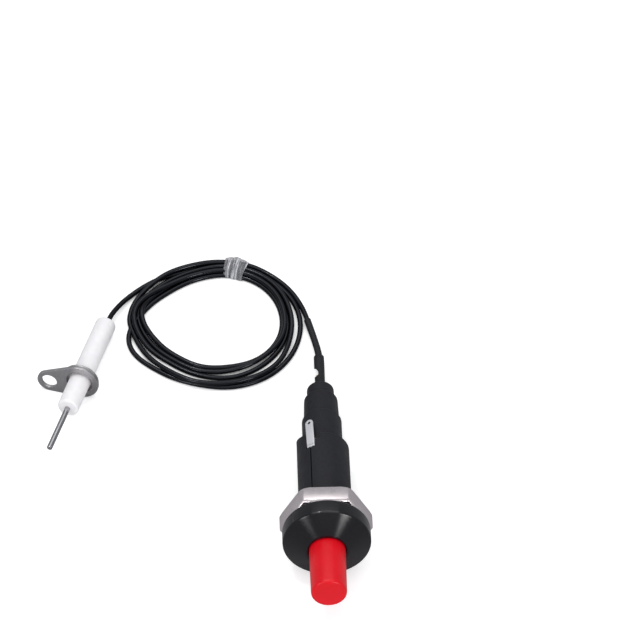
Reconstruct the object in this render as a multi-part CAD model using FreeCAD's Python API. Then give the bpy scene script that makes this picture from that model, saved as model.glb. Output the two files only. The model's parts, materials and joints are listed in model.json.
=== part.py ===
import FreeCAD, Part
import math
import os

# Push-button piezo igniter for a panel hole, with its coiled lead and its spark electrode.
# Millimetres, +Z up. The set lies on a table, button towards +X, electrode on the -Y side.
# The igniter is drawn along its own axis: station 0 is the back of the bezel, + is the button end.
# The electrode is drawn along its own axis too: station 0 is the wire end of the ceramic.

V = FreeCAD.Vector
axis_x = V(1, 0, 0)
axis_y = V(0, 1, 0)
axis_z = V(0, 0, 1)
half_turn = 180.0
full_turn = 360.0
edge_steps = 3
overrun = 1.0

# Housing: bezel, barrel and rear tongue in one moulding
bezel_radius = 14.5
bezel_rim_length = 6.2
bezel_cone_length = 3.7
bezel_edge = 0.4
nose_lip = 0.8
barrel_radius = 8.8
barrel_length = 36.9
barrel_wall = 1.5
nose_shoulder = 2.4
thread_length = 11.2
thread_pitch = 1.6
thread_depth = 0.35
thread_crest = 0.5
thread_shares = 3
tongue_length = 4.4
tongue_corner = 0.75
tongue_from = 30.0
tongue_to = 112.0
slot_angle = 29.0
slot_width = 0.6
slot_depth = 0.9
slot_front_land = 1.5
rim_notch_from = 6.0
rim_notch_depth = 2.6

# Panel nut
nut_sides = 6
nut_across_flats = 27.0
nut_thickness = 6.8
nut_thread_gap = 0.12
nut_seat_gap = 0.05
nut_front_bevel = 0.7
nut_rear_chamfer_radius = 13.3
nut_chamfer_angle = 30.0

# Push button and plunger
button_radius = 6.0
button_tip_radius = 5.8
button_exposed = 18.9
button_edge = 1.2
button_wall = 1.4
button_crown = 2.0
button_travel = 7.0
button_gap = 0.2
stop_gap = 0.1
skirt_length = 10.4
skirt_gap = 0.3
plug_length = 13.0
plug_gap = 0.1
plug_core_radius = 2.8
bulkhead = 2.0
cam_tube_wall = 1.3
cam_tube_gap = 0.2
cam_end_bar = 1.0
cam_side_gap = 0.25
cam_slant = 2.2

# Hammer with its cross pin, and the two springs
hammer_radius = 2.9
hammer_length = 8.0
hammer_neck_radius = 1.5
hammer_neck_length = 1.6
hammer_gap = 0.15
hammer_stroke = 3.5
strike_gap = 0.1
pin_radius = 0.9
pin_end_gap = 0.3
guide_front_gap = 1.0
guide_latch_angle = 32.0
return_wire = 0.8
return_coils = 4
return_bore_gap = 0.3
hammer_wire = 0.6
hammer_coils = 6
hammer_spring_gap = 0.35
spring_seat_gap = 0.1
wire_sides = 4

# Guide tube and rear cap: the stepped housing of the crystals
guide_wall = 1.35
flange_radius = 7.4
flange_gap = 0.1
guide_flange = 1.6
cap_flange = 1.5
crystal_radius = 3.2
crystal_gap = 0.15
crystal_length = 10.0
disc_thickness = 0.4
anvil_head = 5.4
terminal_head = 1.0
terminal_pin_radius = 1.0
terminal_pin_gap = 0.05
terminal_pin_out = 6.0
cap_step_radii = (6.45, 5.75, 4.4)
cap_step_lengths = (13.8, 10.5, 5.4)
cap_step_edge = 0.5

# Ground terminal: a folded strip with the tab beside the barrel
strip_thickness = 0.5
strip_width = 2.8
strip_gap = 0.25
strip_fold_gap = 0.3
strip_fold_from_rim = 5.5
tab_out = 7.5
tab_inset = 0.02
tab_hole_radius = 0.6
finger_gap = 0.1

# Socket, boot, shrink sleeve and lead
lead_radius = 0.9
socket_wall = 0.4
socket_length = 10.5
socket_from_cap = 0.3
boot_length = 17.0
boot_radius = 1.8
boot_gap = 0.05
boot_notch_radius = 1.3
boot_notch_depth = 1.0
boot_notch_from_end = 5.8
sleeve_radius = 1.15
sleeve_bend_from_boot = 3.0
arc_share = 0.45

# Ceramic electrode
ceramic_radius = 3.5
ceramic_length = 43.3
ceramic_edge = 0.8
rod_radius = 0.95
rod_out = 19.6
rod_chamfer = 0.2
rod_gap = 0.15
ferrule_radius = 1.5
ferrule_length = 9.0
ferrule_depth = 5.0
ferrule_gap = 0.1
ferrule_grip_gap = 0.04
ferrule_grip = 3.5
bracket_from_front = 12.96
plate_thickness = 1.2
plate_ring_radius = 6.7
plate_bore_radius = 4.65
lug_distance = 11.2
lug_radius = 4.3
lug_hole_radius = 2.75
grip_ring_radius = 6.3
grip_ring_thickness = 1.5
grip_ring_gap = 0.05

# Coil of the lead and its tie
coil_centre = (-63.54, 4.75)
coil_half_x = 29.2
coil_half_y = 30.9
coil_band_front = 9.6
coil_band_back = 6.6
coil_band_left = 6.1
coil_band_right = 8.1
coil_height = 4.6
coil_lift = 0.05
coil_edge = 1.2
tie_place = 12.35
tie_width = 7.6
tie_film = 0.5
tie_hump = 0.7

# Where things lie on the table
panel_seat = (35.46, 40.85)
ceramic_end = (-63.78, -33.19)
electrode_heading = -16.48

# Sizes that follow from those above
bore_radius = barrel_radius - barrel_wall
nose_station = bezel_rim_length + bezel_cone_length
nose_bore_radius = button_radius + button_gap
shoulder_station = nose_station - nose_shoulder
button_tip = nose_station + button_exposed
skirt_radius = bore_radius - skirt_gap
skirt_front = shoulder_station - stop_gap
skirt_rear = skirt_front - skirt_length
cavity_radius = button_radius - button_wall
rim_station = -barrel_length
cap_front = rim_station + cap_flange
guide_seat = cap_front + guide_flange
seat_bore_radius = flange_radius + flange_gap
guide_bore_radius = hammer_radius + hammer_gap
guide_radius = guide_bore_radius + guide_wall
cam_bore_radius = guide_radius + cam_tube_gap
cam_radius = cam_bore_radius + cam_tube_wall
cam_rear = guide_seat + button_travel + cam_tube_gap
pin_station = cam_rear + cam_end_bar + pin_radius + cam_side_gap
hammer_rear = pin_station - hammer_length / 2
hammer_front = pin_station + hammer_length / 2
anvil_nose = hammer_rear - hammer_stroke - strike_gap
bulkhead_rear = skirt_rear - bulkhead
guide_front = bulkhead_rear - button_travel - guide_front_gap
anvil_rear = cap_front - anvil_head
disc_front = anvil_rear - crystal_length
disc_rear = disc_front - disc_thickness
crystal_rear_end = disc_rear - crystal_length
terminal_rear = crystal_rear_end - terminal_head
crystal_bore_radius = crystal_radius + crystal_gap
cap_step_1 = rim_station - cap_step_lengths[0]
cap_step_2 = cap_step_1 - cap_step_lengths[1]
cap_rear = cap_step_2 - cap_step_lengths[2]
nut_bore_radius = barrel_radius + nut_thread_gap
fold_station = rim_station + strip_fold_from_rim
tab_low = math.sqrt((barrel_radius - tab_inset) ** 2 - (strip_width / 2) ** 2) - strip_thickness
boot_end = cap_rear - boot_length
socket_radius = terminal_pin_radius + terminal_pin_gap + socket_wall
plate_front = ceramic_length - bracket_from_front
plate_rear = plate_front - plate_thickness
grip_rear = plate_rear - grip_ring_thickness
ferrule_end = ferrule_depth + ferrule_length

# The igniter rests on the bezel's rear edge and on the rim of the cap's second step
tilt = math.atan2(bezel_radius - cap_step_radii[1], -cap_step_2 - cap_step_edge)
panel_height = bezel_radius * math.cos(tilt)

# The electrode rests on the plate's rear edge, on the lug and on the rounded end of the ceramic
electrode_tilt = math.atan2(plate_ring_radius - ceramic_radius, plate_rear - ceramic_edge)
ceramic_height = ceramic_radius * math.cos(electrode_tilt) - ceramic_edge * math.sin(electrode_tilt)
lug_dip = math.asin((plate_ring_radius - lug_radius) / lug_distance)


def turned(outline):
    """A solid of revolution about the X axis, from its half section as (station, radius) points."""
    points = [V(station, radius, 0) for station, radius in outline]
    face = Part.Face(Part.makePolygon(points + points[:1]))
    return face.revolve(V(0, 0, 0), axis_x, full_turn)


def rounded_corner(station, radius, size, facing):
    """Points from a cylinder's side round to its end face, in edge_steps cones."""
    corner = []
    for step in range(edge_steps + 1):
        angle = math.pi / 2 * step / edge_steps
        inset = facing * size * (1 - math.sin(angle))
        corner.append((station - inset, radius - size * (1 - math.cos(angle))))
    return corner


def rod(rear, front, radius):
    return Part.makeCylinder(radius, front - rear, V(rear, 0, 0), axis_x)


def tube(rear, front, radius, bore):
    return rod(rear, front, radius).cut(rod(rear - overrun, front + overrun, bore))


def block(rear, front, width, low, high):
    """A bar above the axis, as wide as width and from low to high over the axis."""
    return Part.makeBox(front - rear, width, high - low, V(rear, -width / 2, low))


def turn_left(shape, angle):
    """Turn what is drawn over the axis towards -Y, by degrees about the axis."""
    return shape.rotate(V(0, 0, 0), axis_x, angle)


def wedge(rear, front, radius, start, end):
    """A slice of a cylinder between two angles, both counted from straight up towards -Y."""
    cut_piece = Part.makeCylinder(radius, front - rear, V(rear, 0, 0), axis_x, end - start)
    centre = cut_piece.CenterOfMass
    found = math.degrees(math.atan2(-centre.y, centre.z))
    return cut_piece.rotate(V(0, 0, 0), axis_x, (start + end) / 2 - found)


def by_igniter(shape):
    """From the igniter's own axis to where it lies on the table."""
    placed = shape.copy()
    placed.rotate(V(0, 0, 0), axis_y, -math.degrees(tilt))
    placed.translate(V(panel_seat[0], panel_seat[1], panel_height))
    return placed


def by_electrode(shape):
    """From the electrode's own axis to where it lies on the table."""
    placed = shape.copy()
    placed.rotate(V(0, 0, 0), axis_x, math.degrees(lug_dip))
    placed.rotate(V(0, 0, 0), axis_y, -math.degrees(electrode_tilt))
    placed.rotate(V(0, 0, 0), axis_z, electrode_heading)
    placed.translate(V(ceramic_end[0], ceramic_end[1], ceramic_height))
    return placed


def igniter_point(station, above=0.0):
    return V(
        panel_seat[0] + station * math.cos(tilt) - above * math.sin(tilt),
        panel_seat[1],
        panel_height + station * math.sin(tilt) + above * math.cos(tilt),
    )


def electrode_point(station):
    heading = math.radians(electrode_heading)
    flat = station * math.cos(electrode_tilt)
    return V(
        ceramic_end[0] + flat * math.cos(heading),
        ceramic_end[1] + flat * math.sin(heading),
        ceramic_height + station * math.sin(electrode_tilt),
    )


def housing():
    body = turned([
        (nose_station, nose_bore_radius),
        (nose_station, nose_bore_radius + nose_lip),
        (bezel_rim_length, bezel_radius - bezel_edge / 2),
        (bezel_rim_length - bezel_edge, bezel_radius),
        (0, bezel_radius),
        *thread_outline(),
        (rim_station, barrel_radius),
        (rim_station, seat_bore_radius),
        (guide_seat, seat_bore_radius),
        (guide_seat, bore_radius),
        (shoulder_station, bore_radius),
        (shoulder_station, nose_bore_radius),
    ])
    return body.fuse(tongue()).cut(strip_window()).cut(rim_notch()).cut(lead_in_slot()).removeSplitter()


def thread_outline():
    """The coarse thread behind the bezel, as rings; flanks and root share what the crest leaves."""
    root_radius = barrel_radius - thread_depth
    flank = (thread_pitch - thread_crest) / thread_shares
    points = [(0, root_radius)]
    for ridge in range(int(thread_length / thread_pitch) - 1):
        start = -ridge * thread_pitch - flank
        points += [
            (start, root_radius),
            (start - flank, barrel_radius),
            (start - flank - thread_crest, barrel_radius),
            (start - 2 * flank - thread_crest, root_radius),
        ]
    points += [(-thread_length, root_radius), (-thread_length - flank, barrel_radius)]
    return points


def tongue():
    """The part of the barrel's wall that runs on behind the rim, beside the ground terminal."""
    rear = rim_station - tongue_length
    wall = wedge(rear, rim_station, barrel_radius, tongue_from, tongue_to)
    wall = wall.cut(rod(rear - overrun, rim_station + overrun, seat_bore_radius))
    far_corners = [
        edge for edge in wall.Edges
        if isinstance(edge.Curve, Part.Line) and edge.CenterOfMass.x < rear + slot_width
        and edge.CenterOfMass.z < 0
    ]
    return wall.makeFillet(tongue_corner, far_corners) if far_corners else wall


def strip_window():
    width = strip_width + 2 * strip_gap
    rear = rim_station - tongue_length
    cutter = block(rear, fold_station + strip_gap, width, bore_radius / 2, bezel_radius)
    return turn_left(cutter, slot_angle)


def rim_notch():
    rear = rim_station - overrun
    cutter = wedge(rear, rim_station + rim_notch_depth, bezel_radius, rim_notch_from, slot_angle)
    return cutter.cut(rod(rear - overrun, 0, seat_bore_radius))


def lead_in_slot():
    cutter = block(fold_station, -slot_front_land, slot_width, barrel_radius - slot_depth, bezel_radius)
    return turn_left(cutter, slot_angle)


def panel_nut():
    """Hexagon nut: a straight bevel along each front edge, the corners turned off at the rear."""
    corner_radius = nut_across_flats / 2 / math.cos(math.pi / nut_sides)
    corners = []
    for k in range(nut_sides):
        angle = 2 * math.pi * k / nut_sides
        corners.append(V(0, corner_radius * math.cos(angle), corner_radius * math.sin(angle)))
    hexagon = Part.Face(Part.makePolygon(corners + corners[:1]))
    prism = hexagon.extrude(V(-nut_thickness, 0, 0))
    front_edges = [edge for edge in prism.Edges if min(v.Point.x for v in edge.Vertexes) > -nut_front_bevel]
    prism = prism.makeChamfer(nut_front_bevel, front_edges)
    drop = (corner_radius - nut_rear_chamfer_radius) * math.tan(math.radians(nut_chamfer_angle))
    envelope = turned([
        (0, 0),
        (0, corner_radius),
        (-nut_thickness + drop, corner_radius),
        (-nut_thickness, nut_rear_chamfer_radius),
        (-nut_thickness, 0),
    ])
    nut = prism.common(envelope).cut(rod(-nut_thickness - overrun, overrun, nut_bore_radius))
    nut.translate(V(-nut_seat_gap, 0, 0))
    return nut


def push_button():
    return turned([
        (skirt_rear, cavity_radius),
        (skirt_rear, skirt_radius),
        (skirt_front, skirt_radius),
        (skirt_front, button_radius),
        (nose_station, button_radius),
        *rounded_corner(button_tip, button_tip_radius, button_edge, 1),
        (button_tip, 0),
        (button_tip - button_crown, 0),
        (button_tip - button_crown, cavity_radius),
    ])


def plunger():
    """Plug in the button, bulkhead over the springs, and a tube whose windows carry the hammer's pin."""
    plug_radius = cavity_radius - plug_gap
    plug_front = skirt_rear + plug_length
    body = turned([
        (plug_front, plug_core_radius),
        (plug_front, plug_radius),
        (skirt_rear, plug_radius),
        (skirt_rear, skirt_radius),
        (bulkhead_rear, skirt_radius),
        (bulkhead_rear, cam_radius),
        (cam_rear, cam_radius),
        (cam_rear, cam_bore_radius),
        (bulkhead_rear, cam_bore_radius),
        (bulkhead_rear, 0),
        (skirt_rear, 0),
        (skirt_rear, plug_core_radius),
    ])
    for turn in (0, half_turn):
        body = body.cut(cam_window().rotate(V(0, 0, 0), axis_x, turn))
    return body


def cam_window():
    """Window for the pin; the slanted side turns the pin out of its latch when the button comes down."""
    rear = pin_station - pin_radius - cam_side_gap
    front = pin_station + button_travel - hammer_stroke + pin_radius + cam_side_gap
    half = pin_radius + cam_side_gap
    corners = [
        V(rear, -half, 0),
        V(front, -half, 0),
        V(front, half, 0),
        V(rear + cam_slant, half + cam_slant / 2, 0),
        V(rear, half + cam_slant / 2, 0),
    ]
    return Part.Face(Part.makePolygon(corners + corners[:1])).extrude(V(0, 0, cam_radius + overrun))


def hammer():
    neck = hammer_front - hammer_neck_length
    body = turned([
        (hammer_rear, 0),
        (hammer_rear, hammer_radius - hammer_gap),
        (hammer_rear + hammer_gap, hammer_radius),
        (neck, hammer_radius),
        (neck, hammer_neck_radius),
        (hammer_front, hammer_neck_radius),
        (hammer_front, 0),
    ])
    return body.cut(pin_bar(hammer_radius + overrun))


def pin_bar(half_length):
    return Part.makeCylinder(pin_radius, 2 * half_length, V(pin_station, 0, -half_length), axis_z)


def hammer_pin():
    return pin_bar(cam_radius - pin_end_gap)


def coil_spring(rear, front, mean_radius, wire, coils):
    """Wire of many-sided section wound between two seats."""
    wire_radius = wire / 2
    rise = front - rear - wire
    path = Part.makeHelix(rise / coils, rise, mean_radius)
    corners = []
    for k in range(wire_sides):
        angle = 2 * math.pi * k / wire_sides
        corners.append(V(mean_radius + wire_radius * math.cos(angle), 0, wire_radius * math.sin(angle)))
    section = Part.makePolygon(corners + corners[:1])
    spring = Part.Wire(path).makePipeShell([section], True, True)
    spring.rotate(V(0, 0, 0), axis_y, half_turn / 2)
    spring.translate(V(rear + wire_radius, 0, 0))
    return spring


def return_spring():
    mean = bore_radius - return_bore_gap - return_wire / 2
    rear = guide_seat + spring_seat_gap
    return coil_spring(rear, bulkhead_rear - spring_seat_gap, mean, return_wire, return_coils)


def hammer_spring():
    mean = guide_bore_radius - hammer_spring_gap - hammer_wire / 2
    rear = hammer_front - hammer_neck_length + spring_seat_gap
    return coil_spring(rear, bulkhead_rear - spring_seat_gap, mean, hammer_wire, hammer_coils)


def guide_tube():
    """Flanged tube that leads the hammer, with a latch beside the front end of each of its two slots."""
    body = turned([
        (cap_front, guide_bore_radius),
        (cap_front, flange_radius),
        (guide_seat, flange_radius),
        (guide_seat, guide_radius),
        (guide_front, guide_radius),
        (guide_front, guide_bore_radius),
    ])
    half = pin_radius + pin_end_gap
    reach = guide_radius + overrun
    slot = block(pin_station - hammer_stroke - half, pin_station + half, 2 * half, 0, reach)
    latch = wedge(pin_station - half, pin_station + half, reach, 0, guide_latch_angle)
    for turn in (0, half_turn):
        for cutter in (slot, latch):
            body = body.cut(cutter.copy().rotate(V(0, 0, 0), axis_x, turn))
    finger_slot = block(
        cap_front, cap_front + strip_thickness + finger_gap, strip_width + 2 * strip_gap, 0, bezel_radius
    )
    leg_low = tab_low - strip_fold_gap - strip_thickness - finger_gap
    leg_slot = block(cap_front, guide_seat, strip_width + 2 * strip_gap, leg_low, bezel_radius)
    return body.cut(turn_left(finger_slot.fuse(leg_slot), slot_angle))


def rear_cap():
    """Stepped cup that holds the anvil, the crystals and the output terminal."""
    edge = cap_step_edge
    outline = [
        (cap_front, crystal_bore_radius),
        (cap_front, flange_radius),
        (rim_station, flange_radius),
        (rim_station, cap_step_radii[0]),
    ]
    for station, radius in zip((cap_step_1, cap_step_2, cap_rear), cap_step_radii):
        outline += [(station + edge, radius), (station, radius - edge)]
        if station != cap_rear:
            outline.append((station, cap_step_radii[cap_step_radii.index(radius) + 1]))
    pin_bore = terminal_pin_radius + terminal_pin_gap
    outline += [(cap_rear, pin_bore), (terminal_rear, pin_bore), (terminal_rear, crystal_bore_radius)]
    return turned(outline)


def anvil():
    return turned([
        (anvil_rear, 0),
        (anvil_rear, crystal_radius),
        (cap_front, crystal_radius),
        (cap_front, hammer_radius),
        (anvil_nose - hammer_gap, hammer_radius),
        (anvil_nose, hammer_radius - hammer_gap),
        (anvil_nose, 0),
    ])


def output_terminal():
    pin_end = cap_rear - terminal_pin_out
    return turned([
        (crystal_rear_end, 0),
        (crystal_rear_end, crystal_radius),
        (terminal_rear, crystal_radius),
        (terminal_rear, terminal_pin_radius),
        (pin_end + cap_step_edge, terminal_pin_radius),
        (pin_end, terminal_pin_radius - cap_step_edge),
        (pin_end, 0),
    ])


def ground_terminal():
    """Strip folded back on itself in the barrel's window, with a finger that reaches in to the anvil."""
    inner_low = tab_low - strip_fold_gap - strip_thickness
    fold_radius = strip_fold_gap / 2 + strip_thickness
    fold_centre = fold_station - fold_radius
    fold_height = inner_low + fold_radius
    finger_end = hammer_radius + finger_gap
    tab_rear = fold_station - strip_fold_from_rim - tab_out
    inner_top = inner_low + strip_thickness
    finger = block(cap_front, cap_front + strip_thickness, strip_width, finger_end, inner_top)
    inner_leg = block(cap_front, fold_centre, strip_width, inner_low, inner_top)
    centre = V(fold_centre, -strip_width / 2, fold_height)
    fold = Part.makeCylinder(fold_radius, strip_width, centre, axis_y)
    fold = fold.cut(Part.makeCylinder(strip_fold_gap / 2, strip_width, centre, axis_y))
    rear_half = block(fold_centre - fold_radius, fold_centre, strip_width + 2 * overrun, 0, bezel_radius)
    fold = fold.cut(rear_half)
    tab = block(tab_rear + strip_width / 2, fold_centre, strip_width, tab_low, tab_low + strip_thickness)
    end_centre = V(tab_rear + strip_width / 2, 0, tab_low)
    tab_end = Part.makeCylinder(strip_width / 2, strip_thickness, end_centre, axis_z)
    hole_foot = end_centre - axis_z * overrun
    hole = Part.makeCylinder(tab_hole_radius, strip_thickness + 2 * overrun, hole_foot, axis_z)
    strip = finger.fuse([inner_leg, fold, tab, tab_end]).cut(hole).removeSplitter()
    return turn_left(strip, slot_angle)


def lead_socket():
    """Turned socket on the output pin, crimped round the end of the lead."""
    front = cap_rear - socket_from_cap
    rear = front - socket_length
    pin_bore = terminal_pin_radius + terminal_pin_gap
    bore_end = cap_rear - terminal_pin_out - cap_step_edge
    return turned([
        (front, pin_bore),
        (front, socket_radius),
        (rear, socket_radius),
        (rear, 0),
        (bore_end, 0),
        (bore_end, pin_bore),
    ])


def terminal_boot():
    socket_end = cap_rear - socket_from_cap - socket_length
    body = turned([
        (cap_rear, socket_radius + boot_gap),
        (cap_rear, boot_radius),
        (boot_end, boot_radius),
        (boot_end, 0),
        (socket_end, 0),
        (socket_end, socket_radius + boot_gap),
    ])
    across = boot_radius - boot_notch_depth + boot_notch_radius
    notch_centre = V(boot_end + boot_notch_from_end, -across, -boot_radius)
    return body.cut(Part.makeCylinder(boot_notch_radius, 2 * boot_radius, notch_centre, axis_z))


def rounded_route(points):
    """Straight runs joined by tangent arcs, each arc as large as its shorter run allows."""
    edges = []
    radii = []
    start = points[0]
    for before, corner, after in zip(points, points[1:], points[2:]):
        way_in = (corner - before).normalize()
        way_out = (after - corner).normalize()
        turn = way_in.getAngle(way_out)
        reach = arc_share * min((corner - before).Length, (after - corner).Length)
        radius = reach / math.tan(turn / 2)
        radii.append(round(radius, 1))
        first = corner - way_in * reach
        last = corner + way_out * reach
        inward = (way_out - way_in).normalize()
        middle = corner + inward * (radius / math.cos(turn / 2) - radius)
        edges.append(Part.LineSegment(start, first).toShape())
        edges.append(Part.Arc(first, middle, last).toShape())
        start = last
    edges.append(Part.LineSegment(start, points[-1]).toShape())
    return Part.Wire(edges), radii


def swept(points, radius, name):
    path, radii = rounded_route(points)
    section = Part.Wire(Part.makeCircle(radius, points[0], points[1] - points[0]))
    solid = path.makePipeShell([section], True, False)
    filled = solid.Volume / (math.pi * radius ** 2 * path.Length)
    print(name, "length", round(path.Length, 1), "arc radii", radii)
    print(name, "volume over section times length", round(filled, 4))
    return solid


def sleeve_route():
    start = igniter_point(boot_end)
    bend = igniter_point(boot_end - sleeve_bend_from_boot)
    return [start, bend, lead_out_route[0]]


# The lead's free stretches, chosen by hand along the lead in its loose state
lead_out_route = [
    V(-65.14, 37.35, 1.35),
    V(-68.84, 36.48, 1.19),
    V(-72.84, 35.05, 0.95),
    V(-77.04, 33.05, 0.95),
    V(-81.24, 30.25, 0.95),
    V(-85.04, 26.65, 1.0),
    V(-88.24, 22.45, 1.3),
    V(-90.44, 18.05, 1.9),
    V(-91.44, 13.65, 2.4),
]
lead_end_route = [
    V(-87.84, -9.85, 1.0),
    V(-86.34, -14.45, 1.0),
    V(-83.64, -18.95, 1.0),
    V(-80.14, -23.15, 1.1),
    V(-76.44, -26.65, 1.4),
    V(-72.64, -29.25, 2.1),
]


def lead_igniter_end():
    return swept(lead_out_route, lead_radius, "lead_igniter_end")


def lead_electrode_end():
    inside = electrode_point(ferrule_depth + ferrule_grip)
    mouth = electrode_point(-ceramic_radius)
    return swept(lead_end_route + [mouth, inside], lead_radius, "lead_electrode_end")


def shrink_sleeve():
    return swept(sleeve_route(), sleeve_radius, "shrink_sleeve")


def oval(centre_x, centre_y, half_x, half_y, height):
    """An upright post with half-round ends on the coil's underside, as long as its larger half size says."""
    radius = min(half_x, half_y)
    reach = V(half_x - radius, half_y - radius, 0)
    foot = V(centre_x, centre_y, coil_lift)
    ends = [Part.makeCylinder(radius, height, foot + reach * side) for side in (1, -1)]
    if reach.Length == 0:
        return ends[0]
    corner = V(reach.x or radius, reach.y or radius, 0)
    middle = Part.makeBox(2 * corner.x, 2 * corner.y, height, foot - corner)
    return middle.fuse(ends).removeSplitter()


def lead_coil():
    """The room that the wound turns take up, as a ring with a chamfered top."""
    outer = oval(coil_centre[0], coil_centre[1], coil_half_x, coil_half_y, coil_height)
    inner_x = coil_centre[0] + (coil_band_back - coil_band_front) / 2
    inner_y = coil_centre[1] + (coil_band_left - coil_band_right) / 2
    half_x = coil_half_x - (coil_band_back + coil_band_front) / 2
    half_y = coil_half_y - (coil_band_left + coil_band_right) / 2
    ring = outer.cut(oval(inner_x, inner_y, half_x, half_y, coil_height))
    rims = [edge for edge in ring.Edges if min(v.Point.z for v in edge.Vertexes) > coil_height / 2]
    return ring.makeChamfer(coil_edge, rims)


def coil_tie(wires):
    """Band of film wrapped round the turns at the back of the coil, cut out round the given wires."""
    back = coil_centre[0] - coil_half_x - tie_film
    front = back + coil_band_back + 2 * tie_film + tie_hump
    top = coil_lift + coil_height + tie_hump
    side = tie_place - tie_width / 2
    section = [
        V(back, side, coil_lift),
        V(back, side, top - coil_edge),
        V(back + coil_edge, side, top),
        V(front - coil_edge, side, top),
        V(front, side, top - coil_edge),
        V(front, side, coil_lift),
    ]
    band = Part.Face(Part.makePolygon(section + section[:1])).extrude(V(0, tie_width, 0))
    return band.cut(wires)


def ceramic_insulator():
    rod_bore = rod_radius + rod_gap
    ferrule_bore = ferrule_radius + ferrule_gap
    return turned([
        (0, ferrule_bore),
        *reversed(rounded_corner(0, ceramic_radius, ceramic_edge, -1)),
        *rounded_corner(ceramic_length, ceramic_radius, ceramic_edge, 1),
        (ceramic_length, rod_bore),
        (ferrule_end, rod_bore),
        (ferrule_end, ferrule_bore),
    ])


def crimp_ferrule():
    body = rod(ferrule_depth, ferrule_end, ferrule_radius)
    wire_end = ferrule_depth + ferrule_grip
    rod_end = ferrule_end - ferrule_grip
    body = body.cut(rod(ferrule_depth - overrun, wire_end, lead_radius + ferrule_grip_gap))
    return body.cut(rod(rod_end, ferrule_end + overrun, rod_radius + ferrule_grip_gap))


def electrode_rod():
    tip = ceramic_length + rod_out
    return turned([
        (ferrule_end - ferrule_grip, 0),
        (ferrule_end - ferrule_grip, rod_radius),
        (tip - rod_chamfer, rod_radius),
        (tip, rod_radius - rod_chamfer),
        (tip, 0),
    ])


def bracket_plate():
    """Stamped plate: a ring round the ceramic and a lug with the fixing hole, joined by tangent sides."""
    ring = rod(plate_rear, plate_front, plate_ring_radius)
    lug = Part.makeCylinder(lug_radius, plate_thickness, V(plate_rear, -lug_distance, 0), axis_x)
    lean = math.asin((plate_ring_radius - lug_radius) / lug_distance)
    corners = []
    for side in (1, -1):
        across, up = math.sin(lean), side * math.cos(lean)
        ends = [(-plate_ring_radius * across, plate_ring_radius * up),
                (-lug_distance - lug_radius * across, lug_radius * up)]
        corners += ends if side == 1 else ends[::-1]
    web = Part.Face(Part.makePolygon([V(plate_rear, y, z) for y, z in corners + corners[:1]]))
    plate = ring.fuse([lug, web.extrude(V(plate_thickness, 0, 0))])
    rear = plate_rear - overrun
    hole_rear = V(rear, -lug_distance, 0)
    hole = Part.makeCylinder(lug_hole_radius, plate_thickness + 2 * overrun, hole_rear, axis_x)
    bore = rod(rear, plate_front + overrun, plate_bore_radius)
    return plate.cut([hole, bore]).removeSplitter()


def grip_ring():
    return tube(grip_rear, plate_rear, grip_ring_radius, ceramic_radius + grip_ring_gap)


on_igniter = {
    "housing": housing(),
    "panel_nut": panel_nut(),
    "push_button": push_button(),
    "plunger": plunger(),
    "hammer": hammer(),
    "hammer_pin": hammer_pin(),
    "return_spring": return_spring(),
    "hammer_spring": hammer_spring(),
    "guide_tube": guide_tube(),
    "rear_cap": rear_cap(),
    "anvil": anvil(),
    "piezo_crystal_front": rod(disc_front, anvil_rear, crystal_radius),
    "contact_disc": rod(disc_rear, disc_front, crystal_radius),
    "piezo_crystal_rear": rod(crystal_rear_end, disc_rear, crystal_radius),
    "output_terminal": output_terminal(),
    "ground_terminal": ground_terminal(),
    "lead_socket": lead_socket(),
    "terminal_boot": terminal_boot(),
}
on_electrode = {
    "ceramic_insulator": ceramic_insulator(),
    "crimp_ferrule": crimp_ferrule(),
    "electrode_rod": electrode_rod(),
    "bracket_plate": bracket_plate(),
    "grip_ring": grip_ring(),
}
coil = lead_coil()
lead_out = lead_igniter_end()
on_table = {
    "shrink_sleeve": shrink_sleeve(),
    "lead_igniter_end": lead_out,
    "lead_coil": coil,
    "coil_tie": coil_tie([coil, lead_out]),
    "lead_electrode_end": lead_electrode_end(),
}
placed = {name: by_igniter(shape) for name, shape in on_igniter.items()}
placed.update({name: by_electrode(shape) for name, shape in on_electrode.items()})
placed.update(on_table)
os.makedirs("parts", exist_ok=True)
for name, shape in placed.items():
    solid = shape.Solids[0] if len(shape.Solids) == 1 else Part.makeCompound(shape.Solids)
    solid.exportStep("parts/" + name + ".step")
    print(name, "solids", len(shape.Solids), "valid", shape.isValid(), "volume", round(shape.Volume, 2))
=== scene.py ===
# %% [markdown]
# # A push-button piezo igniter, with its coiled lead and its spark electrode
# The imported model is loaded first and stays as it is: every piece below is made in metres in the same
# frame, and rides on one of its bodies.

# %% Load the frame
import bpy
import bmesh
import json
import math
from mathutils import Matrix, Vector, noise


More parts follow.
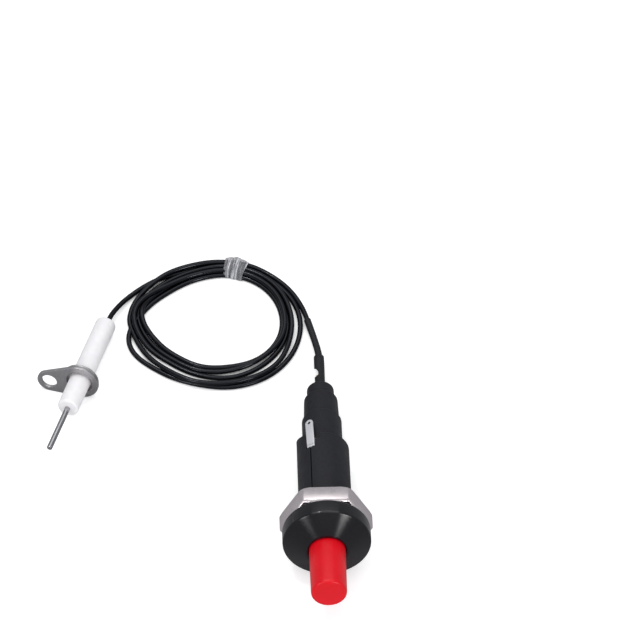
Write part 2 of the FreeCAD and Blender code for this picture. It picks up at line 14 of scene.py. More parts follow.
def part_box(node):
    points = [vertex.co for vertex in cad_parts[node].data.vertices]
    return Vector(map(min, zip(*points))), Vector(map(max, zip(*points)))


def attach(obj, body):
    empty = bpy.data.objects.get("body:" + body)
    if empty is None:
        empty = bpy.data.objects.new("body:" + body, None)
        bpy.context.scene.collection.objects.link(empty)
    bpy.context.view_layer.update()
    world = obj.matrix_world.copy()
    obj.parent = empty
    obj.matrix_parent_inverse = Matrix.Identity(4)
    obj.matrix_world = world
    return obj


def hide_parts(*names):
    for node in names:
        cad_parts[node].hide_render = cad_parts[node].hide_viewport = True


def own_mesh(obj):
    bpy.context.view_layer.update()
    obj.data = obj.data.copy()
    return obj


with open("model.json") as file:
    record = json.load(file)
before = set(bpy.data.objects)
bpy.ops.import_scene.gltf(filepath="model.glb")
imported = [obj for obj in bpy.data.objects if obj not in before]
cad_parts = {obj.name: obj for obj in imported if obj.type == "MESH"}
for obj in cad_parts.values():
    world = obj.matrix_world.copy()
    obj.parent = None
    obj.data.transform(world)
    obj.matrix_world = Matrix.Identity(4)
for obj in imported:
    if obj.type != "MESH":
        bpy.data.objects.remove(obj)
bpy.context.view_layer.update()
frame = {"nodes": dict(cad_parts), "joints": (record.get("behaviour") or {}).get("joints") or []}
mm = 0.001

# %% [markdown]
# ## Where the two long axes run
# The igniter and the electrode are both turned things that lie a little tilted. Everything on them is
# easiest to draw along their own axis, so each gets a matrix that takes "station, sideways, upwards" to
# where it lies. A plain disc or tube has the middle of its box on its axis, so such pieces of the model
# show where the axes are.

# %% Axes of the igniter and of the electrode
def middle_of(node):
    low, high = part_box(node)
    return (low + high) / 2


def lying_along(forward, origin, roll=0.0):
    """Matrix with X along forward, Y level and Z as near upright as it can be, then rolled about X."""
    side = Vector((0, 0, 1)).cross(forward).normalized()
    up = forward.cross(side)
    basis = Matrix((forward, side, up)).transposed().to_4x4()
    return Matrix.Translation(origin) @ basis @ Matrix.Rotation(roll, 4, "X")


press_joint = next(joint for joint in frame["joints"] if joint["name"] == "button_press")
crystal_station = -45.8 * mm
button_way = -Vector(press_joint["axis"]).normalized()
bezel_back = middle_of("piezo_crystal_front") - button_way * crystal_station
on_igniter = lying_along(button_way, bezel_back)

ferrule_station = 9.5 * mm
lug_dip = math.radians(12.37)
rod_way = (middle_of("ceramic_insulator") - middle_of("crimp_ferrule")).normalized()
ceramic_start = middle_of("crimp_ferrule") - rod_way * ferrule_station
on_electrode = lying_along(rod_way, ceramic_start, lug_dip)
print("bezel back at", [round(value / mm, 2) for value in bezel_back])
print("ceramic starts at", [round(value / mm, 2) for value in ceramic_start])

# %% [markdown]
# ## Camera
# The picture looks down on the set at about 50 degrees, with the button nearest. A long lens keeps the
# far coil almost as large as the near bezel. The camera is aimed from three numbers: how high it looks
# from, how far it is turned, and the point of the table that it looks at.

# %% Camera
def linked(name, data, place=None):
    """A new object for this data, put in the scene."""
    piece = bpy.data.objects.new(name, data)
    if place is not None:
        piece.matrix_world = place
    bpy.context.scene.collection.objects.link(piece)
    return piece


view_height = math.radians(49.86)
view_turn = math.radians(-1.71)
view_distance = 1.0
aim_right = -2.07 * mm
aim_up = 77.73 * mm
aim_shift = Vector((35.46, 40.85, 0)) * mm
back = Vector((
    math.cos(view_height) * math.cos(view_turn),
    math.cos(view_height) * math.sin(view_turn),
    math.sin(view_height),
))
right = Vector((-math.sin(view_turn), math.cos(view_turn), 0))
upward = back.cross(right)
aim = right * aim_right + upward * aim_up + aim_shift

camera_data = bpy.data.cameras.new("camera")
camera_data.sensor_width = 36
camera_data.lens = 170.26
camera_data.clip_end = 20
facing = Matrix((right, upward, back)).transposed().to_4x4()
camera = linked("camera", camera_data, Matrix.Translation(aim + back * view_distance) @ facing)
bpy.context.scene.camera = camera
print("camera at", [round(value, 3) for value in camera.location])

# %% [markdown]
# ## Light
# The set was lit softly from above. The nut's top flat comes out light and its side flats half as bright,
# and the black jacket shows long soft streaks. A wide area lamp overhead and a narrower one above the camera
# give that. Three small lamps add the glints: one behind the coil for the nut's edge and the jacket, and one
# low on each side in front, for the two fans of light on the cone of the bezel. The world fills in the rest.

# %% Lamps and world
def soft_box(name, place, target, width, depth, power):
    data = bpy.data.lights.new(name, "AREA")
    data.shape = "RECTANGLE"
    data.size = width
    data.size_y = depth
    data.energy = power
    lamp = linked(name, data)
    lamp.location = place
    lamp.rotation_euler = (Vector(target) - Vector(place)).to_track_quat("-Z", "Y").to_euler()


def connect(tree, *pairs):
    for source, target in pairs:
        tree.links.new(source, target)


stage_middle = Vector((-0.02, 0, 0.01))
soft_box("overhead", (-0.35, 0.0, 1.25), stage_middle, 1.5, 1.5, 9.5)
soft_box("over_camera", (0.9, 0.0, 0.85), stage_middle, 0.9, 0.4, 1.6)
soft_box("spark", (-0.25, -0.3, 1.2), stage_middle, 0.1, 0.1, 1.8)
soft_box("left_front", (0.85, -0.6, 0.42), stage_middle, 0.25, 0.25, 2.2)
soft_box("right_front", (0.85, 0.55, 0.42), stage_middle, 0.25, 0.25, 3.2)

world = bpy.data.worlds.new("studio")
bpy.context.scene.world = world
world.use_nodes = True
world_nodes = world.node_tree.nodes
world_nodes.clear()
ray_kind = world_nodes.new("ShaderNodeLightPath")
seen = world_nodes.new("ShaderNodeBackground")
seen.inputs["Color"].default_value = (1, 1, 1, 1)
seen.inputs["Strength"].default_value = 1.0
fill = world_nodes.new("ShaderNodeBackground")
fill.inputs["Color"].default_value = (0.95, 0.97, 1.0, 1)
fill.inputs["Strength"].default_value = 0.42
choose = world_nodes.new("ShaderNodeMixShader")
world_output = world_nodes.new("ShaderNodeOutputWorld")
connect(
    world.node_tree,
    (ray_kind.outputs["Is Camera Ray"], choose.inputs["Fac"]),
    (fill.outputs[0], choose.inputs[1]),
    (seen.outputs[0], choose.inputs[2]),
    (choose.outputs[0], world_output.inputs["Surface"]),
)
bpy.context.scene.view_settings.view_transform = "Standard"

# %% [markdown]
# ## Floor
# The ground is plain white paper. What the camera sees of it gets a little light of its own, so that it
# clips to white away from the object and still keeps the soft shadow close to it. The same goes for what
# is seen through clear film. In the narrow slits between two wires that light fades out, because real slits
# are dark. Glossy surfaces see a greyer floor, which keeps the undersides of black pieces black.

# %% Floor
def add_mesh(name, vertices, faces, place=None):
    mesh = bpy.data.meshes.new(name)
    mesh.from_pydata(vertices, [], faces)
    mesh.update()
    return linked(name, mesh, place)


floor_half = 0.3
floor = add_mesh(
    "floor",
    [(x * floor_half, y * floor_half, 0) for x, y in ((-1, -1), (1, -1), (1, 1), (-1, 1))],
    [(0, 1, 2, 3)],
)
paper = bpy.data.materials.new("white_paper")
paper.use_nodes = True
paper_nodes = paper.node_tree.nodes
paper_nodes.clear()
rays = paper_nodes.new("ShaderNodeLightPath")
plain_sight = paper_nodes.new("ShaderNodeMath")
plain_sight.operation = "MAXIMUM"
tone = paper_nodes.new("ShaderNodeMix")
tone.data_type = "RGBA"
tone.inputs["A"].default_value = (0.8, 0.8, 0.8, 1)
tone.inputs["B"].default_value = (0.35, 0.35, 0.36, 1)
lit = paper_nodes.new("ShaderNodeBsdfDiffuse")
openness = paper_nodes.new("ShaderNodeAmbientOcclusion")
openness.inputs["Distance"].default_value = 0.003
openness.samples = 8
glow_reach = paper_nodes.new("ShaderNodeMapRange")
for name, value in (("From Min", 0.12), ("From Max", 0.45), ("To Min", 0.0), ("To Max", 0.45)):
    glow_reach.inputs[name].default_value = value
glow = paper_nodes.new("ShaderNodeEmission")
both = paper_nodes.new("ShaderNodeAddShader")
pick = paper_nodes.new("ShaderNodeMixShader")
paper_output = paper_nodes.new("ShaderNodeOutputMaterial")
connect(
    paper.node_tree,
    (openness.outputs["AO"], glow_reach.inputs["Value"]),
    (glow_reach.outputs["Result"], glow.inputs["Strength"]),
    (rays.outputs["Is Glossy Ray"], tone.inputs["Factor"]),
    (tone.outputs["Result"], lit.inputs["Color"]),
    (rays.outputs["Is Camera Ray"], plain_sight.inputs[0]),
    (rays.outputs["Is Transmission Ray"], plain_sight.inputs[1]),
    (lit.outputs[0], both.inputs[0]),
    (glow.outputs[0], both.inputs[1]),
    (plain_sight.outputs[0], pick.inputs["Fac"]),
    (lit.outputs[0], pick.inputs[1]),
    (both.outputs[0], pick.inputs[2]),
    (pick.outputs[0], paper_output.inputs["Surface"]),
)
floor.data.materials.append(paper)

# %% [markdown]
# ## The lead's route
# About 0.9 m of thin, glossy, black insulated wire runs from the boot of the igniter to the ceramic. It
# is one smooth curve. The two free stretches are listed points. Between them it makes five turns,
# worked out by a loop from how far each turn lies from the coil's middle at every twelfth of a turn. Those
# distances are matched to the photograph. The turns are tight together in the
# tie and fan out on the far side of it.

# %% Free stretches and the spread of the turns
lead_diameter = 1.8 * mm
floor_gap = 0.05 * mm
lead_out = [
    (-65.14, 37.35, 1.35), (-68.84, 36.48, 1.19), (-72.84, 35.05, 0.95), (-77.04, 33.05, 0.95),
    (-81.24, 30.25, 0.95), (-85.04, 26.65, 1.0), (-88.24, 22.45, 1.3), (-90.44, 18.05, 1.9),
    (-91.44, 13.65, 2.4),
]
lead_home = [
    (-87.84, -9.85, 1.0), (-86.34, -14.45, 1.0), (-83.64, -18.95, 1.0), (-80.14, -23.15, 1.1),
    (-76.44, -26.65, 1.4), (-72.64, -29.25, 2.1),
]
coil_middle = Vector((-63.54, 4.75)) * mm
tie_angle = 165
stations_per_turn = 12
points_per_station = 3
# One row a turn, from the tie round by the left, the front and the right, and back to the tie
turn_radii = [
    [28.9, 28.3, 29.4, 30.1, 27.7, 26.4, 27.0, 27.5, 28.7, 27.1, 26.9, 27.6],
    [27.3, 26.4, 27.3, 28.6, 23.9, 20.7, 20.5, 20.9, 22.2, 24.3, 25.2, 25.8],
    [25.5, 24.1, 24.6, 28.9, 25.9, 22.5, 22.6, 24.0, 24.6, 25.5, 26.1, 26.7],
    [26.4, 24.9, 25.0, 26.7, 21.7, 18.8, 18.7, 19.3, 21.9, 23.4, 24.2, 24.9],
    [24.6, 23.1, 23.1, 26.6, 30.6, 27.5, 26.5, 28.1, 29.4, 30.1, 30.1, 29.1],
    [28.2, 28.3],
]
# Which of those places lie on other turns (1) and which on the floor (0)
turn_layers = [
    [1, 1, 1, 0.8, 0, 0.7, 1, 1, 1, 1, 1, 1],
    [1, 0.8, 0, 1, 0, 0, 0, 0, 1, 1, 1, 1],
    [1, 1, 1, 1, 0, 0, 0, 0, 0, 0, 0, 0],
    [0, 0, 0, 0.9, 0, 0, 0, 0, 0, 0, 0, 0],
    [0, 0, 0, 0, 0, 0, 0, 0, 0, 0, 0, 0],
    [0, 0],
]

# %% [markdown]
# A row holds only twelve places, so the loop reads between them with a smooth curve through four
# neighbours. That alone would let turns run through each other. So the strand is then settled, the way a
# real coil settles: again and again every point is drawn to its place and down to the floor, evened out
# with its neighbours because wire is stiff, and pushed off every turn that it would sink into. The ends of
# the two free stretches lie in the same heap, so they push too, but stay where they are.

# %% Turns of the coil
per_turn = stations_per_turn * points_per_station
step_angle = 360 / per_turn
lowest = lead_diameter / 2 + floor_gap


def between(before, a, b, after, share):
    """Smooth curve from a to b, which also looks at the values before and after them."""
    bend = 2 * before - 5 * a + 4 * b - after + share * (3 * (a - b) + after - before)
    return a + share / 2 * (b - before + share * bend)


def read_rows(rows):
    values = [value for row in rows for value in row]
    values = [values[0]] + values + [values[-1]]
    return [
        between(*values[index:index + 4], part / points_per_station)
        for index in range(len(values) - 3) for part in range(points_per_station)
    ]


def coil_place(angle, radius, height):
    turned = math.radians(angle)
    x = coil_middle.x + radius * math.cos(turned)
    y = coil_middle.y + radius * math.sin(turned)
    return Vector((x, y, height))


def seen_at(stretch, angle):
    """Radius and height at which a free stretch passes an angle round the coil's middle."""
    places = []
    for point in stretch:
        offset = point.xy - coil_middle
        places.append((math.degrees(math.atan2(offset.y, offset.x)) % 360, offset.length, point.z))
    for here, there in zip(places, places[1:]):
        if min(here[0], there[0]) <= angle <= max(here[0], there[0]):
            share = (angle - here[0]) / (there[0] - here[0])
            return [here[1] + (there[1] - here[1]) * share, here[2] + (there[2] - here[2]) * share]


def settle(strand, wished, free, sweeps=160, pull=0.1, sag=0.03 * mm, evening=0.3):
    """Move the free points of the strand, each a radius and a height, until no turn cuts another."""
    for sweep in range(sweeps):
        calm = sweep > 0.8 * sweeps
        for here in free:
            drift = [strand[place][0] - wished[place] for place in (here - 1, here, here + 1)]
            neighbours = (strand[here - 1][1] + strand[here + 1][1]) / 2
            share = evening * (0.3 if calm else 1)
            drawn_back = 0 if calm else drift[1] * pull
            sunk = 0 if calm else sag
            strand[here][0] += ((drift[0] + drift[2]) / 2 - drift[1]) * share - drawn_back
            strand[here][1] += (neighbours - strand[here][1]) * share - sunk
            strand[here][1] = max(strand[here][1], lowest)
        for again in range(3):
            for here in range(len(strand)):
                for other in range(here + per_turn, len(strand), per_turn):
                    push_apart(strand, here, other, free)


def push_apart(strand, here, other, free):
    apart = Vector(strand[other]) - Vector(strand[here])
    lack = lead_diameter - apart.length
    movable = [place for place in (here, other) if place in free]
    if lack <= 0 or not movable:
        return
    push = apart.normalized() * lack / len(movable)
    for place in movable:
        away = -1 if place == here else 1
        strand[place][0] += away * push.x
        strand[place][1] = max(strand[place][1] + away * push.y, lowest)


free_out = [Vector(point) * mm for point in lead_out]
free_home = [Vector(point) * mm for point in lead_home]
layer_height = 1.6 * mm
loop = [
    [radius * mm, lowest + layer_height * layer]
    for radius, layer in zip(read_rows(turn_radii), read_rows(turn_layers))
]
last_angle = tie_angle + (len(loop) - 1) * step_angle
entering = [seen_at(free_out, tie_angle - step_angle * step) for step in (4, 3, 2, 1)]
leaving_from = [coil_place(last_angle, *loop[-1])] + free_home
leaving = [seen_at(leaving_from, (last_angle + step_angle * step) % 360) for step in (1, 2, 3, 4, 5)]
strand = entering + loop + leaving
movable_points = range(len(entering), len(entering) + len(loop))
settle(strand, [radius for radius, height in strand], movable_points)
closest = min(
    (Vector(strand[here + per_turn * turn]) - Vector(strand[here])).length
    for here in range(len(strand)) for turn in range(1, 6) if here + per_turn * turn < len(strand)
)
wound = [
    coil_place(tie_angle + step_angle * index, *strand[index + len(entering)])
    for index in range(1, len(loop))
]
print("coil:", len(wound), "points, closest", round(closest / mm, 2), "mm")

# %% [markdown]
# The curve is a NURBS spline of order 3 that starts and ends exactly on its first and last point. Its
# order is set after the points exist, because a spline with too few points falls back to straight runs.
# A round bevel gives it its thickness. The bevel is 1 and the points carry the wire's real radius, because
# Blender widens a curve's box by the radius of its points, which is a whole metre if it is left alone.

# %% Lead as one curve
def thick_curve(name, points, radius, detail=6, fineness=8, radii=None):
    """A smooth round strand; detail counts round its section, fineness between two points."""
    data = bpy.data.curves.new(name, "CURVE")
    data.dimensions = "3D"
    spline = data.splines.new("NURBS")
    spline.points.add(len(points) - 1)
    for index, (point, place) in enumerate(zip(spline.points, points)):
        point.co = (*place, 1)
        point.radius = radius * (radii[index] if radii else 1)
    spline.order_u = 3
    spline.use_endpoint_u = True
    data.resolution_u = fineness
    data.bevel_depth = 1.0
    data.bevel_resolution = detail
    data.use_fill_caps = True
    return linked(name, data)


def along_electrode(station):
    return on_electrode @ Vector((station, 0, 0))


mouth = along_electrode(-3.5 * mm)
crimped = along_electrode(8.5 * mm)
route = free_out + wound + free_home + [mouth, crimped]

lead = thick_curve("lead", route, lead_diameter / 2, 5, 5)
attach(lead, "igniter")
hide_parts("lead_igniter_end", "lead_coil", "lead_electrode_end")
lead_length = sum((b - a).length for a, b in zip(route, route[1:]))
print("lead: points add up to", round(lead_length, 3), "m")

# %% [markdown]
# ## Finishes
# Every finish is a small node tree. A few helpers keep each one short: a colour read off a screen becomes
# the linear numbers that a shader wants, noise in the piece's own coordinates gives grain and unevenness,
# and a bump turns it into relief. Numbers that hold for the whole surface are set on the shader itself.

# %% Helpers for finishes
def screen_colour(red, green, blue):
    """A colour as read off a screen, 0 to 255, in linear light."""
    shares = [value / 255 for value in (red, green, blue)]
    return (*[share / 12.92 if share < 0.04 else ((share + 0.055) / 1.055) ** 2.4 for share in shares], 1)


class Finish:
    """A material under way: its nodes, its shader and coordinates that are fixed to the piece."""

    def __init__(self, name, roughness, metallic=0.0, **settings):
        self.material = bpy.data.materials.new(name)
        self.material.use_nodes = True
        self.nodes = self.material.node_tree.nodes
        self.links = self.material.node_tree.links
        self.shader = self.nodes["Principled BSDF"]
        self.shader.inputs["Roughness"].default_value = roughness
        self.shader.inputs["Metallic"].default_value = metallic
        for socket, value in settings.items():
            self.shader.inputs[socket.replace("_", " ")].default_value = value
        self.place = self.nodes.new("ShaderNodeTexCoord").outputs["Object"]

    def stretched(self, scale):
        """The piece's coordinates, drawn out or turned denser along each axis."""
        mapping = self.nodes.new("ShaderNodeMapping")
        mapping.inputs["Scale"].default_value = scale
        self.links.new(self.place, mapping.inputs["Vector"])
        return mapping.outputs["Vector"]

    def noise(self, scale, detail=2.0, where=None):
        speck = self.nodes.new("ShaderNodeTexNoise")
        speck.inputs["Scale"].default_value = scale
        speck.inputs["Detail"].default_value = detail
        self.links.new(where or self.place, speck.inputs["Vector"])
        return speck.outputs["Fac"]

    def rings(self, scale, axis, distortion):
        """Turned rings, one after the other along an axis of the piece."""
        wave = self.nodes.new("ShaderNodeTexWave")
        wave.wave_type = "BANDS"
        wave.bands_direction = axis
        wave.inputs["Scale"].default_value = scale
        wave.inputs["Distortion"].default_value = distortion
        self.links.new(self.place, wave.inputs["Vector"])
        return wave.outputs["Fac"]

    def colours(self, mask, dark, light, low=0.3, high=0.7):
        """The mask leads the base colour from dark to light, both as read off a screen."""
        ramp = self.nodes.new("ShaderNodeValToRGB")
        ramp.color_ramp.elements[0].position = low
        ramp.color_ramp.elements[0].color = screen_colour(*dark)
        ramp.color_ramp.elements[1].position = high
        ramp.color_ramp.elements[1].color = screen_colour(*light)
        self.links.new(mask, ramp.inputs["Fac"])
        self.links.new(ramp.outputs["Color"], self.shader.inputs["Base Color"])
        return self

    def spread(self, mask, socket, low, high, start=0.3, end=0.7):
        """The mask drives one of the shader's sockets from low to high."""
        reach = self.nodes.new("ShaderNodeMapRange")
        for name, value in (("From Min", start), ("From Max", end), ("To Min", low), ("To Max", high)):
            reach.inputs[name].default_value = value
        self.links.new(mask, reach.inputs["Value"])
        self.links.new(reach.outputs["Result"], self.shader.inputs[socket])
        return self

    def relief(self, mask, strength, depth):
        bump = self.nodes.new("ShaderNodeBump")
        bump.inputs["Strength"].default_value = strength
        bump.inputs["Distance"].default_value = depth
        self.links.new(mask, bump.inputs["Height"])
        if self.shader.inputs["Normal"].links:
            self.links.new(self.shader.inputs["Normal"].links[0].from_socket, bump.inputs["Normal"])
        self.links.new(bump.outputs["Normal"], self.shader.inputs["Normal"])
        return self


# %% [markdown]
# **Plastics.** The housing is a black moulding with a fine satin grain. The red button is glossy, with a
# slight waviness that bends its long highlights. The front of the bezel was turned, so its fine rings draw
# the light out into fans; an anisotropic highlight with a tangent that runs round the axis does the same.
# The rubber of the boot is duller, and the hidden guide is a milky plastic that lets a little light in.

# %% Plastic finishes
black = Finish("black_moulding", 0.5, Specular_IOR_Level=0.3)
black.colours(black.noise(900, 3), (20, 21, 26), (26, 27, 33))
black.spread(black.noise(240, 2), "Roughness", 0.46, 0.56)
black.relief(black.noise(5200, 2), 0.2, 0.02 * mm)

bezel = Finish("turned_bezel", 0.2, Specular_IOR_Level=0.5, Anisotropic=0.85, Anisotropic_Rotation=0.25)
bezel.colours(bezel.noise(700, 3), (3, 3, 9), (8, 8, 15))
bezel.relief(bezel.rings(1600, "X", 0.4), 0.12, 0.01 * mm)
around = bezel.nodes.new("ShaderNodeTangent")
around.direction_type = "RADIAL"
around.axis = "X"
bezel.links.new(around.outputs["Tangent"], bezel.shader.inputs["Tangent"])

red = Finish("red_moulding", 0.3, Specular_IOR_Level=0.3)
red.colours(red.noise(160, 2), (212, 6, 24), (219, 10, 28))
red.relief(red.noise(420, 2), 0.2, 0.05 * mm)
red.relief(red.noise(6000, 1), 0.08, 0.01 * mm)

rubber = Finish("boot_rubber", 0.55, Specular_IOR_Level=0.3)
rubber.colours(rubber.noise(800, 3), (20, 21, 24), (30, 31, 35))
rubber.relief(rubber.noise(3000, 3), 0.35, 0.04 * mm)

acetal = Finish("guide_plastic", 0.4, Subsurface_Weight=0.1, Subsurface_Radius=(0.002, 0.002, 0.0015))
acetal.colours(acetal.noise(500, 3), (222, 219, 208), (232, 229, 220))
acetal.relief(acetal.noise(4000, 2), 0.15, 0.02 * mm)

# %% [markdown]
# **The lead's jacket** is glossy and nearly black, with cool highlights. Its gloss varies along it, and a
# slight waviness, left from the winding, breaks the long streaks of light into shorter ones.

# %% Jacket of the lead
jacket = Finish("lead_jacket", 0.24, Specular_IOR_Level=0.3, Specular_Tint=(0.85, 0.9, 1.0, 1))
jacket.colours(jacket.noise(600, 3), (3, 3, 6), (9, 9, 13))
jacket.spread(jacket.noise(700, 3), "Roughness", 0.12, 0.26)
jacket.relief(jacket.noise(260, 2), 0.3, 0.06 * mm)

# %% [markdown]
# **Metals.** The nut is nickel plated with brushed flats. The bracket is dull stainless sheet, the ground
# tab bright strip, the electrode's rod drawn wire. They differ in colour, in roughness and in the direction
# of their fine scratches, which is a noise drawn out along one axis. The tab is only partly metallic: its
# tinned face scatters light, so it stays bright from every side.

# %% Metal finishes
def brushed(name, dark, light, roughness, scale, depth, strength=0.3, spread=0.08):
    finish = Finish(name, roughness, 1.0)
    scratches = finish.noise(1.0, 4, finish.stretched(scale))
    finish.colours(scratches, dark, light)
    finish.spread(finish.noise(350, 3), "Roughness", roughness - spread, roughness + spread)
    finish.relief(scratches, strength, depth)
    return finish


nickel = brushed(
    "nickel_plate", (222, 213, 215), (234, 226, 228), 0.3, (5200, 700, 700), 0.008 * mm, 0.15, 0.03,
)
strip = brushed(
    "sheet_steel", (226, 226, 231), (236, 236, 240), 0.3, (500, 5200, 5200), 0.006 * mm, 0.12, 0.03,
)
strip.shader.inputs["Metallic"].default_value = 0.6
stainless = brushed(
    "bracket_steel", (168, 166, 168), (188, 186, 188), 0.4, (6000, 900, 900), 0.012 * mm, spread=0.05,
)
wire_steel = brushed(
    "rod_steel", (150, 150, 153), (176, 176, 179), 0.22, (300, 6000, 6000), 0.006 * mm, 0.15, 0.03,
)
ground = brushed("hardened_steel", (140, 140, 143), (176, 176, 178), 0.25, (4000, 4000, 4000), 0.01 * mm)
spring_wire = brushed("spring_steel", (128, 128, 130), (165, 164, 162), 0.3, (2000, 2000, 2000), 0.02 * mm)
brass = brushed("contact_brass", (190, 150, 84), (222, 184, 116), 0.3, (3000, 3000, 3000), 0.02 * mm)

# %% [markdown]
# ** Ceramics and film.** The insulator is white steatite, satin, with the faintest mottling and light that
# goes a little way in. The crystals are a tan sintered ceramic. The tie is clear film: half see-through, with
# light streaks along its folds, partly milky film and partly a painted highlight on the fold crests, made by
# a noise that is dense across the folds and slow along them.

# %% Ceramic and film finishes
steatite = Finish("white_ceramic", 0.34, Subsurface_Weight=0.12, Subsurface_Radius=(0.0012, 0.0011, 0.001))
steatite.colours(steatite.noise(420, 4), (238, 236, 238), (244, 242, 244))
steatite.spread(steatite.noise(260, 3), "Roughness", 0.28, 0.42)
steatite.relief(steatite.noise(2600, 3), 0.12, 0.02 * mm)

crystal = Finish("crystal", 0.5)
crystal.colours(crystal.noise(2500, 4), (150, 132, 104), (172, 154, 124))
crystal.relief(crystal.noise(5000, 2), 0.2, 0.02 * mm)

film = Finish("tie_film", 0.16, Specular_IOR_Level=0.8)
# The streaks along the folds turn lighter and less clear: partly milky film, partly a painted highlight on
# the fold crests.
folds_and_sheen = film.noise(1.0, 2, film.stretched((1900, 140, 140)))
film.colours(folds_and_sheen, (140, 140, 146), (222, 222, 227), 0.44, 0.7)
film.spread(folds_and_sheen, "Alpha", 0.34, 0.75, 0.48, 0.7)
film.relief(folds_and_sheen, 0.5, 0.12 * mm)

finishes = {
    "black_moulding": black, "red_moulding": red, "boot_rubber": rubber, "guide_plastic": acetal,
    "lead_jacket": jacket, "nickel_plate": nickel, "sheet_steel": strip, "bracket_steel": stainless,
    "rod_steel": wire_steel, "hardened_steel": ground, "spring_steel": spring_wire, "contact_brass": brass,
    "white_ceramic": steatite, "crystal": crystal, "tie_film": film,
}


def wear(piece, slot, finish=None):
    """Give a piece its finish: the one given, or else the one listed for the slot."""
    piece.data.materials.clear()
    piece.data.materials.append((finish or finishes[slot]).material)


wear(lead, "lead_jacket")
print("finishes:", len(finishes) + 1)

# %% [markdown]
# ## How the rigid pieces are shaped
# Most of them are turned, so one helper spins a half section round the axis. A second one first rounds the
# section's corners, because real edges always catch a thin line of light. What isn't turned is cut with
# solid cutters, and its sharp edges are then bevelled.

# %% Spinning a section
slices = 144


def eased(outline, size, steps=4):
    """The outline with each inner corner rounded by a short curve that starts size before it."""
    soft = [Vector(outline[0])]
    for before, corner, after in zip(outline, outline[1:], outline[2:]):
        before, corner, after = Vector(before), Vector(corner), Vector(after)
        inward, outward = corner - before, after - corner
        reach = min(size, 0.45 * inward.length, 0.45 * outward.length)
        start = corner - inward.normalized() * reach
        end = corner + outward.normalized() * reach
        for step in range(steps + 1):
            share = step / steps
            soft.append(start * (1 - share) ** 2 + corner * 2 * share * (1 - share) + end * share ** 2)
    soft.append(Vector(outline[-1]))
    return soft


def from_shape(name, shape, place):
    """The piece that a finished shape becomes."""
    mesh = bpy.data.meshes.new(name)
    shape.to_mesh(mesh)
    shape.free()
    return linked(name, mesh, place)


def spun(name, outline, place, around=slices):
    """A closed half section, as (station, radius) in millimetres, spun about X into a solid."""
    axis_limit = 1e-4
    shape = bmesh.new()
    rows = []
    for station, radius in outline:
        if radius < axis_limit:
            rows.append([shape.verts.new((station * mm, 0, 0))])
            continue
        ring = []
        for step in range(around):
            angle = 2 * math.pi * step / around
            sideways = -radius * mm * math.sin(angle)
            upwards = radius * mm * math.cos(angle)
            ring.append(shape.verts.new((station * mm, sideways, upwards)))
        rows.append(ring)
    for here, there in zip(rows, rows[1:] + rows[:1]):
        for step in range(around):
            following = (step + 1) % around
            corners = [here[step % len(here)], there[step % len(there)]]
            if len(there) > 1:
                corners.append(there[following])
            if len(here) > 1:
                corners.append(here[following])
            if len(corners) > 2:
                shape.faces.new(corners)
    bmesh.ops.recalc_face_normals(shape, faces=shape.faces)
    return from_shape(name, shape, place)


# %% Cutting, bevelling and finishing
def as_mesh(piece):
    """What the piece shows, its modifiers or its curve's thickness worked in, as a mesh."""
    bpy.context.view_layer.update()
    return bpy.data.meshes.new_from_object(piece.evaluated_get(bpy.context.evaluated_depsgraph_get()))


def keep_result(piece):
    """Turn what the modifiers make into the piece's own mesh."""
    shaped = as_mesh(piece)
    piece.modifiers.clear()
    piece.data = shaped


def combine(piece, tool, operation="DIFFERENCE"):
    cut = piece.modifiers.new("cut", "BOOLEAN")
    cut.operation = operation
    cut.object = tool
    cut.solver = "EXACT"
    keep_result(piece)
    bpy.data.objects.remove(tool)


def bevelled(piece, width, steps=2, from_angle=32):
    bevel = piece.modifiers.new("edges", "BEVEL")
    bevel.width = width
    bevel.segments = steps
    bevel.limit_method = "ANGLE"
    bevel.angle_limit = math.radians(from_angle)
    bevel.use_clamp_overlap = True
    keep_result(piece)


def shade(piece, sharp_from=34):
    for polygon in piece.data.polygons:
        polygon.use_smooth = True
    piece.data.set_sharp_from_angle(angle=math.radians(sharp_from))


def set_down(piece, body, slot, *nodes, finish=None):
    """Shading, finish, body and the nodes it stands for, for one finished piece."""
    shade(piece)
    wear(piece, slot, finish)
    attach(piece, body)
    if nodes:
        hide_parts(*nodes)
    print(piece.name, len(piece.data.polygons), "faces")


def box_tool(rear, front, width, low, high, turn, place):
    """A block over the axis, turned to the left by an angle in degrees, in millimetres."""
    corners = [
        (x * mm, y * mm, z * mm)
        for x in (rear, front) for y in (-width / 2, width / 2) for z in (low, high)
    ]
    faces = [(0, 1, 3, 2), (4, 6, 7, 5), (0, 4, 5, 1), (2, 3, 7, 6), (0, 2, 6, 4), (1, 5, 7, 3)]
    return add_mesh("tool", corners, faces, place @ Matrix.Rotation(math.radians(turn), 4, "X"))


def sector_tool(rear, front, inner, outer, start, end, place, steps=24):
    """A ring's sector between two angles, counted from the top to the left."""
    vertices = []
    for step in range(steps + 1):
        angle = math.radians(start + (end - start) * step / steps)
        for radius in (inner, outer):
            for station in (rear, front):
                vertices.append((station * mm, -radius * mm * math.sin(angle), radius * mm * math.cos(angle)))
    faces = [(0, 1, 3, 2)]
    for step in range(steps):
        a, b = step * 4, step * 4 + 4
        faces += [(a, b, b + 1, a + 1), (a + 2, a + 3, b + 3, b + 2)]
        faces += [(a, a + 2, b + 2, b), (a + 1, b + 1, b + 3, a + 3)]
    last = steps * 4
    faces.append((last, last + 2, last + 3, last + 1))
    tool = add_mesh("tool", vertices, faces, place)
    shape = bmesh.new()
    shape.from_mesh(tool.data)
    bmesh.ops.recalc_face_normals(shape, faces=shape.faces)
    shape.to_mesh(tool.data)
    shape.free()
    return tool


# %% [markdown]
# ## Housing
# Bezel, threaded barrel and rear tongue are one moulding. The section is spun, and the thread is then put
# on the spun barrel by moving its skin in and out along a helix, which needs fine rows but no cutter. The
# window for the ground strip, the notch in the rim and the lead-in slot are cut, and the tongue is added.

